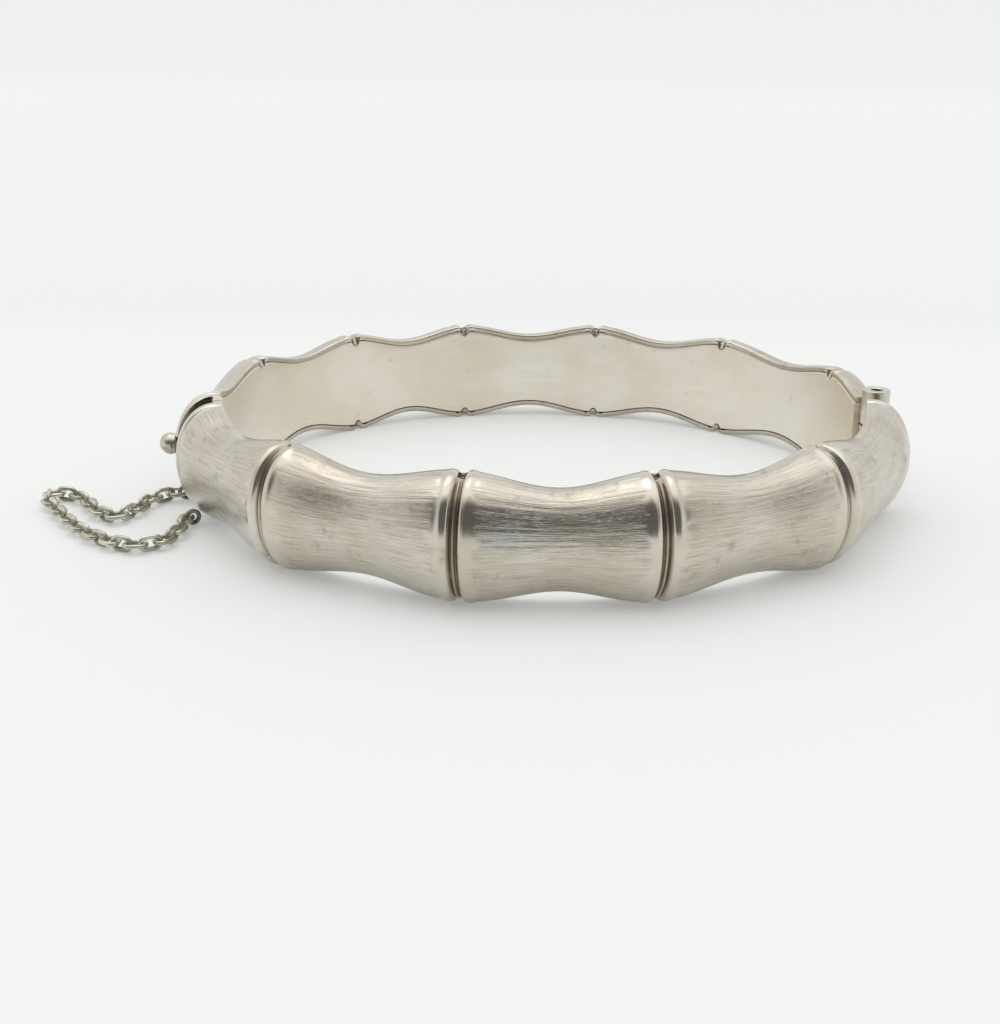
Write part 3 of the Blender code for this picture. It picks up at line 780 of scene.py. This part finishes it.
# How bright the tent is at its sides, overhead and in its dark opening, and behind it all.
TENT_SIDE, TENT_TOP, TENT_DARK, BACKDROP = 0.86, 1.26, 0.135, 1.02
TENT_TINT = (1.0, 0.995, 0.985, 1)
# The opening in front: the height of its middle and its half axes, on a unit sphere.
DARK_MIDDLE, DARK_TALL, DARK_WIDE = 0.34, 0.50, 0.85


def surroundings():
    """A light tent, bright overhead and dark where the photographer stands."""
    world = bpy.data.worlds.new("light_tent")
    bpy.context.scene.world = world
    t = Tree(world, "Background")
    x, y, z = t.axes("Generated")
    sky = t.ranged(z, 0.5, 0.88, TENT_SIDE, TENT_TOP)
    rise = t.math("DIVIDE", t.math("SUBTRACT", z, DARK_MIDDLE), DARK_TALL)
    wide = t.math("DIVIDE", x, DARK_WIDE)
    spread = t.math("ADD", t.math("MULTIPLY", rise, rise), t.math("MULTIPLY", wide, wide))
    in_front = t.ranged(y, -0.25, 0.0, 1.0, 0.0)
    dark = t.math("MULTIPLY", t.ranged(spread, 0.55, 1.3, 1.0, 0.0), in_front)
    shade = t.math("MULTIPLY", t.math("SUBTRACT", sky, TENT_DARK), dark)
    seen = t.node("ShaderNodeLightPath").outputs["Is Camera Ray"]
    tent = t.math("MULTIPLY", t.math("SUBTRACT", sky, shade), t.math("SUBTRACT", 1.0, seen))
    strength = t.math("ADD", tent, t.math("MULTIPLY", seen, BACKDROP))
    t.link(t.blend(seen, TENT_TINT, BACKDROP_COLOUR), t.shader.inputs["Color"])
    t.link(strength, t.shader.inputs["Strength"])


def overhead_light():
    """A weak soft box above and behind the bangle, for a little sparkle."""
    lamp = bpy.data.lights.new("overhead", "AREA")
    lamp.size = 0.3
    lamp.energy = 0.25
    lamp.color = (1.0, 0.985, 0.96)
    holder = bpy.data.objects.new("overhead", lamp)
    bpy.context.scene.collection.objects.link(holder)
    holder.location = (-0.1, 0.1, 0.6)
    holder.rotation_euler = (-holder.location).to_track_quat("-Z", "Y").to_euler()


# Where the camera looks from: its rise and tilt in degrees, and its distance in metres.
CAMERA_RISE, CAMERA_TILT, CAMERA_DISTANCE = 19.38, 0.91, 0.1285


def camera():
    """A camera in front of the bangle and a little above it."""
    rise = math.radians(CAMERA_RISE)
    lens = bpy.data.cameras.new("camera")
    lens.sensor_width = 36.0
    lens.lens = 46.417
    lens.shift_x = -0.0412
    lens.shift_y = -0.0222
    lens.clip_start, lens.clip_end = 0.005, 20
    holder = bpy.data.objects.new("camera", lens)
    bpy.context.scene.collection.objects.link(holder)
    back = Vector((0, -math.cos(rise), math.sin(rise)))
    turn = (-back).to_track_quat("-Z", "Y").to_matrix().to_4x4()
    tilt = Matrix.Rotation(math.radians(CAMERA_TILT), 4, "Z")
    holder.matrix_world = Matrix.Translation(back * CAMERA_DISTANCE) @ turn @ tilt
    bpy.context.scene.camera = holder


# ---------------------------------------------------------------- the bangle

BARK = bark_material()
SATIN = satin_material()
POLISHED = worn_metal("polished_silver_fine", SILVER, TARNISH, 0.16, 0.35)
DARK = worn_metal("dark_silver_fine", (0.40, 0.37, 0.31, 1), (0.12, 0.105, 0.08, 1), 0.34, 0.9)
SATIN_BALL = worn_metal("ball_silver_fine", (0.66, 0.62, 0.54, 1), TARNISH, 0.3, 0.5)
LINK_SILVERS = [
    worn_metal("link_silver_pale", (0.74, 0.71, 0.62, 1), (0.34, 0.32, 0.25, 1), 0.26, 0.7),
    worn_metal("link_silver_grey", (0.62, 0.60, 0.53, 1), (0.26, 0.25, 0.19, 1), 0.28, 0.85),
    worn_metal("link_silver_green", (0.62, 0.61, 0.50, 1), (0.27, 0.27, 0.18, 1), 0.28, 0.8),
]

shell("front", FRONT_ENDS, FRONT_NODES, True, 1)
shell("back", BACK_ENDS, BACK_NODES, False, 2)
liner("front", FRONT_ENDS, FRONT_NODES, True, 1)
liner("back", BACK_ENDS, BACK_NODES, False, 2)
hinge()
thumb_piece()
chain()

# The CAD nodes that are seen as they are.
KEPT = ("front_hinge_plate", "front_clasp_plate", "back_hinge_plate", "back_clasp_mouth",
        "middle_knuckle_leaf", "front_stop_lug", "back_stop_lug", "tongue_base", "tongue_fold",
        "spring_leaf")
for name in KEPT:
    node = frame["nodes"][name]
    node.data.materials.clear()
    node.data.materials.append(POLISHED)

floor()
surroundings()
overhead_light()
camera()

scene = bpy.context.scene
scene.view_settings.view_transform = "Standard"
scene.view_settings.look = "None"
